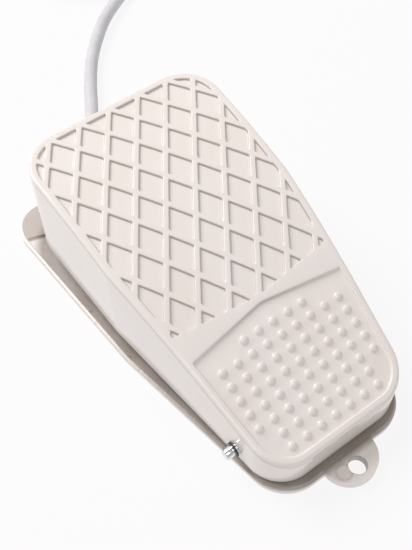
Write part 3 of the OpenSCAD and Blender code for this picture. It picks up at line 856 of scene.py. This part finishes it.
CAD_LOOKS = {
    "rubber": ["rubber_feet", "stop_bumpers"],
    "clip": ["pin_clips"],
    "case": ["switch_case", "switch_cover"],
    "brass": ["switch_terminals", "fixed_contacts", "earth_screw"],
    "bronze": ["contact_blade"],
    "red": ["switch_plunger"],
    "steel": ["switch_screws", "switch_nuts", "spring_seat", "cord_clamp", "clamp_screws",
              "earth_tag", "actuator_bracket", "bracket_screws", "adjusting_screw", "lock_nut"],
    "dark": ["cord_bush"],
    "lead": ["inner_cord"],
    "brown": ["wire_live"],
    "blue": ["wire_neutral"],
    "green": ["wire_earth"],
}


def paint_cad():
    """Materials for the CAD nodes that show as they are."""
    for key, names in CAD_LOOKS.items():
        for name in names:
            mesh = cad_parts[name].data
            mesh.materials.clear()
            mesh.materials.append(M[key])


# ------------------------------------------------------------------ base

def make_base():
    """The cast base with its edges softened: the CAD's own faces, joined up and rounded."""
    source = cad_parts["base_casting"]
    bm = bmesh.new()
    bm.from_mesh(source.data)
    bm.transform(source.matrix_world)
    same_point, flat_angle, edge_angle, softening = 2e-6, math.radians(2), math.radians(35), 0.5
    bmesh.ops.remove_doubles(bm, verts=bm.verts, dist=same_point)
    bmesh.ops.dissolve_limit(bm, angle_limit=flat_angle, verts=bm.verts, edges=bm.edges)
    sharp = [e for e in bm.edges
             if len(e.link_faces) == 2 and e.calc_face_angle(0) > edge_angle]
    bmesh.ops.bevel(bm, geom=sharp, offset=softening * MM, offset_type="OFFSET", segments=2,
                    profile=0.5, affect="EDGES", clamp_overlap=True)
    mesh = bpy.data.meshes.new("base_shell")
    bm.to_mesh(mesh)
    bm.free()
    mesh.materials.append(M["base"])
    place_mesh(mesh, "base", 25, "base_casting")


# ------------------------------------------------------------------ spring and pin

def make_spring():
    """Return spring with closed end coils."""
    turns, steps, sides, closed_pitch = 7, 24, 12, 2.3
    low, high = SPRING_SEAT + SPRING_WIRE_R, SPRING_TOP - SPRING_WIRE_R
    shell = Shell()
    loops = []
    for i in range(turns * steps + 1):
        turn = i / steps
        z = np.interp(turn, [0, 1, turns - 1, turns],
                      [low, low + closed_pitch, high - closed_pitch, high])
        a = 2 * math.pi * turn
        u, v = SPRING_R + SPRING_WIRE_R * circle(sides)[:, 0], SPRING_WIRE_R * circle(sides)[:, 1]
        loops.append(np.column_stack([u * math.cos(a), SPRING_Y + u * math.sin(a), z + v]))
    shell.closed(loops)
    spring = as_object("spring_coils", shell, "base", M["spring"], 40, "return_spring")
    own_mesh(spring)


def make_pin():
    """Hinge pin, its softened ends standing out of the skirt."""
    ends = [(PIN_R - 0.4, PIN_HALF), (PIN_R - 0.14, PIN_HALF - 0.09), (PIN_R, PIN_HALF - 0.4),
            (PIN_R, PIN_HALF - 4.0)]
    c = circle(48)
    shell = Shell()
    loops = []
    for r, x in [(r, -x) for r, x in ends] + ends[::-1]:
        loops.append(np.column_stack([np.full(len(c), x), PIN_Y + r * c[:, 0],
                                      PIN_Z + r * c[:, 1]]))
    shell.closed(loops)
    as_object("pin_bar", shell, "base", M["chrome"], 50, "hinge_pin")


# ------------------------------------------------------------------ lead

LEAD_OUT = [(8, 101.4, 7.7), (10.2, 114, 7.2), (12.6, 126, 6.4), (15, 132, 5.4),
            (17.8, 137, 4.6), (20.8, 142, 4), (24.4, 148, 3.7), (28.4, 155, 3.6),
            (33, 162.2, 3.6), (38.4, 170.2, 3.6), (44, 177.6, 3.6), (50, 184.4, 3.6),
            (56, 190.4, 3.6), (62, 196, 3.6), (68, 201, 3.6), (75, 205.6, 3.6),
            (82.4, 210, 3.6), (91, 215, 3.6), (99.6, 219.8, 3.6)]
LEAD_TAIL = [(95, 314.2, 10.8), (88, 314.6, 9.4), (80, 315, 6.8), (72, 315, 4.8),
             (64, 315, 4.4), (56, 315, 5.6), (48, 315, 6.2), (40, 315, 6.2)]
COIL_X, COIL_Y, COIL_R = 95, 269, 38
LEAD_BORE = LEAD_D / 2 + 0.02   # of the pieces round the lead


def lead_path():
    """The whole lead: out of the housing, round the coil in two layers, and into the plug."""
    per_turn = 16
    start = math.radians(-60.4)
    total = 5 * 2 * math.pi + math.radians(150.4)
    n = int(total / (2 * math.pi) * per_turn)
    points = list(LEAD_OUT)
    for i in range(1, n):
        t = i / n * total
        r, z = coil_at(t / (2 * math.pi))
        points.append((COIL_X + r * math.cos(start + t), COIL_Y + r * math.sin(start + t), z))
    return points + LEAD_TAIL


def coil_at(turn):
    """Radius and height along the coil: inward on the floor, then outward on top."""
    outer, inner, floor, upper = COIL_R + LEAD_D, COIL_R - LEAD_D, LEAD_D / 2, LEAD_D * 1.5
    rows = [(0, outer, floor), (0.62, outer, floor), (1.0, COIL_R, floor), (1.62, COIL_R, floor),
            (2.0, inner, floor), (2.52, inner, floor), (2.98, inner, upper),
            (3.42, inner, upper), (3.8, COIL_R, upper), (4.42, COIL_R, upper),
            (4.8, outer, upper), (6, outer, upper)]
    for (t0, r0, z0), (t1, r1, z1) in zip(rows, rows[1:]):
        if turn <= t1:
            f = (turn - t0) / (t1 - t0)
            f = f * f * (3 - 2 * f)
            return r0 + (r1 - r0) * f, z0 + (z1 - z0) * f
    return rows[-1][1:]


def make_lead():
    """The mains lead as one smooth curve."""
    data = bpy.data.curves.new("mains_lead", "CURVE")
    data.dimensions = "3D"
    data.bevel_depth = LEAD_D / 2 * MM
    data.bevel_resolution = 6
    data.resolution_u = 5
    data.use_fill_caps = True
    points = lead_path()
    spline = data.splines.new("BEZIER")
    spline.bezier_points.add(len(points) - 1)
    for bp, p in zip(spline.bezier_points, points):
        bp.co = Vector(p) * MM
        bp.handle_left_type = bp.handle_right_type = "AUTO"
    data.materials.append(M["lead"])
    lead = bpy.data.objects.new("mains_lead", data)
    scene.collection.objects.link(lead)
    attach(lead, "base")
    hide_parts("cord", "cord_coil")
    return lead


# ------------------------------------------------------------------ boot, plug and tie

BOOT_AT = (LEAD_X, 101.42, LEAD_Z)
BOOT_ANGLES = (-92.6, -10.0)
PLUG_X, PLUG_Y, PLUG_Z = 50, 315, 6.2
TIE_ANGLE = 200


def turned(name, profile, place, replaces):
    """A grey plastic ring turned from a closed profile of (radius, height) about a placed Z axis."""
    shell = Shell()
    rows = shell.stack([[place @ Vector((r * x, r * y, h)) for x, y in circle(40)]
                        for r, h in profile])
    shell.bridge(rows[-1], rows[0])
    as_object(name, shell, "base", M["plug"], 40, replaces)


def make_boot():
    """Ribbed strain relief on the lead, where it leaves the casting."""
    bore, length = LEAD_BORE, 26.0
    profile = [(bore, 1.25), (6.3, 1.25), (6.55, 1.45), (6.6, 1.8), (6.5, 2.35), (6.2, 2.58)]
    for k in range(5):
        start, top = 5 + 4 * k, 5.88 - 0.22 * k
        waist = 5.5 - 1.1 * start / length
        profile += [(waist + 0.05, start - 1.2), (waist, start - 0.25), (top - 0.3, start),
                    (top, start + 0.4), (top, start + 1.8), (top - 0.3, start + 2.2)]
    profile += [(4.5, length - 2.0), (4.4, length - 0.5), (4.1, length - 0.05), (bore, length)]
    tilt, turn = (math.radians(a) for a in BOOT_ANGLES)
    place = (Matrix.Translation(BOOT_AT) @ Matrix.Rotation(turn, 4, "Z")
             @ Matrix.Rotation(tilt, 4, "X"))
    turned("strain_relief", profile, place, "cord_boot")


def rounded_box(half_w, half_h, r, arc):
    """Closed rounded rectangle round the origin."""
    r = min(r, half_w - 0.05, half_h - 0.05)
    points = []
    for cx, cy, start in ((1, 1, 0), (-1, 1, 90), (-1, -1, 180), (1, -1, 270)):
        for i in range(arc + 1):
            a = math.radians(start + 90 * i / arc)
            points.append((cx * (half_w - r) + r * math.cos(a),
                           cy * (half_h - r) + r * math.sin(a)))
    return points


def make_plug():
    """Moulded plug: a waisted body with finger ribs, its sleeve and three round pins."""
    front, back = PLUG_X - 34, PLUG_X - 0.02
    stations = [front, front + 0.3, front + 1.4, front + 7, front + 12, front + 18, front + 24,
                front + 29, back - 1.6, back - 0.4, back]
    half_w = [10.4, 11.2, 12.0, 12.0, 11.0, 10.2, 10.2, 9.3, 8.4, 7.8, 7.2]
    half_h = [4.8, 5.6, 6.2, 6.2, 6.0, 5.8, 5.7, 5.5, 5.3, 5.1, 4.8]
    shell = Shell()
    loops = []
    rib_depth, rib_pitch, ribs_from, ribs_long = 0.45, 2.2, 9.5, 15.4
    for x in sorted(set(stations + list(np.arange(front + 1.8, back - 2, 0.35)))):
        w, h = np.interp(x, stations, half_w), np.interp(x, stations, half_h)
        if 0 < (x - front - ribs_from) / ribs_long < 1:
            wave = max(0.0, math.cos(2 * math.pi * (x - front) / rib_pitch))
            w = w - rib_depth + rib_depth * wave
        loops.append([(x, PLUG_Y + u, PLUG_Z + v) for u, v in rounded_box(w, h, 3.4, 6)])
    shell.closed(loops)
    as_object("plug_shell", shell, "base", M["plug"], 40, "plug_body")
    bore = LEAD_BORE
    sleeve = [(bore, 0), (4.1, 0.0), (4.4, 0.3), (4.55, 1.2)]
    for k in range(3):
        start = 2.6 + 3.4 * k
        sleeve += [(4.5 + 0.1 * start, start), (4.85 + 0.09 * start, start + 0.3),
                   (4.9 + 0.09 * start, start + 1.5), (4.6 + 0.1 * start, start + 1.9)]
    sleeve += [(5.95, 13.6), (5.95, 14.0), (bore, 14.0)]
    place = (Matrix.Translation((PLUG_X + 14, PLUG_Y, PLUG_Z))
             @ Matrix.Rotation(-math.pi / 2, 4, "Y"))
    turned("plug_sleeve", sleeve, place, "plug_boot")
    shell = Shell()
    c, prong_gap = circle(24), 7
    for y in (PLUG_Y - prong_gap, PLUG_Y, PLUG_Y + prong_gap):
        loops = []
        for r, x in ((2.0, front + 0.5), (2.0, front - 10.6), (1.85, front - 11.2),
                     (1.45, front - 11.7), (0.8, front - 11.95)):
            loops.append(np.column_stack([np.full(len(c), x), y + r * c[:, 0],
                                          PLUG_Z + r * c[:, 1]]))
        rows = shell.stack(loops)
        shell.cap(rows[0])
        shell.fan(rows[-1], (front - 12, y, PLUG_Z))
    as_object("plug_prongs", shell, "base", M["brass"], 40, "plug_pins")


def make_tie():
    """Band over the coil, its feet on the floor."""
    turn = (Matrix.Translation((COIL_X, COIL_Y, 0))
            @ Matrix.Rotation(math.radians(TIE_ANGLE), 4, "Z"))
    reach, top, r, half_thick, half_wide, foot = 11.55, 14.92, 3.0, 0.45, 2.45, 0.05
    near, far = COIL_R - reach, COIL_R + reach
    path = [((near, z), (1, 0)) for z in (foot, top / 2, top - r)]
    for centre, angles in ((near + r, range(165, 89, -15)), (far - r, range(90, -1, -15))):
        for a in map(math.radians, angles):
            u, v = math.cos(a), math.sin(a)
            path.append(((centre + r * u, top - r + r * v), (-u, -v)))
    path += [((far, z), (-1, 0)) for z in (top / 2, foot)]
    shell = Shell()
    shell.closed([[turn @ Vector((u - nu * out, across, z - nz * out))
                   for across, out in rounded_box(half_wide, half_thick, 0.3, 2)]
                  for (u, z), (nu, nz) in path])
    as_object("tie_band", shell, "base", M["dark"], 40, "coil_tie")


make_camera()
make_stage()
paint_cad()
make_spring()
make_pin()
make_boot()
make_plug()
make_tie()
lead = make_lead()
tuple(c * MM for c in LEAD_OUT[0])
make_pedal()
make_base()

low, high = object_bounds()
{"cad_box": [list(c) for c in CAD_BOX], "visual_box": [list(low), list(high)]}
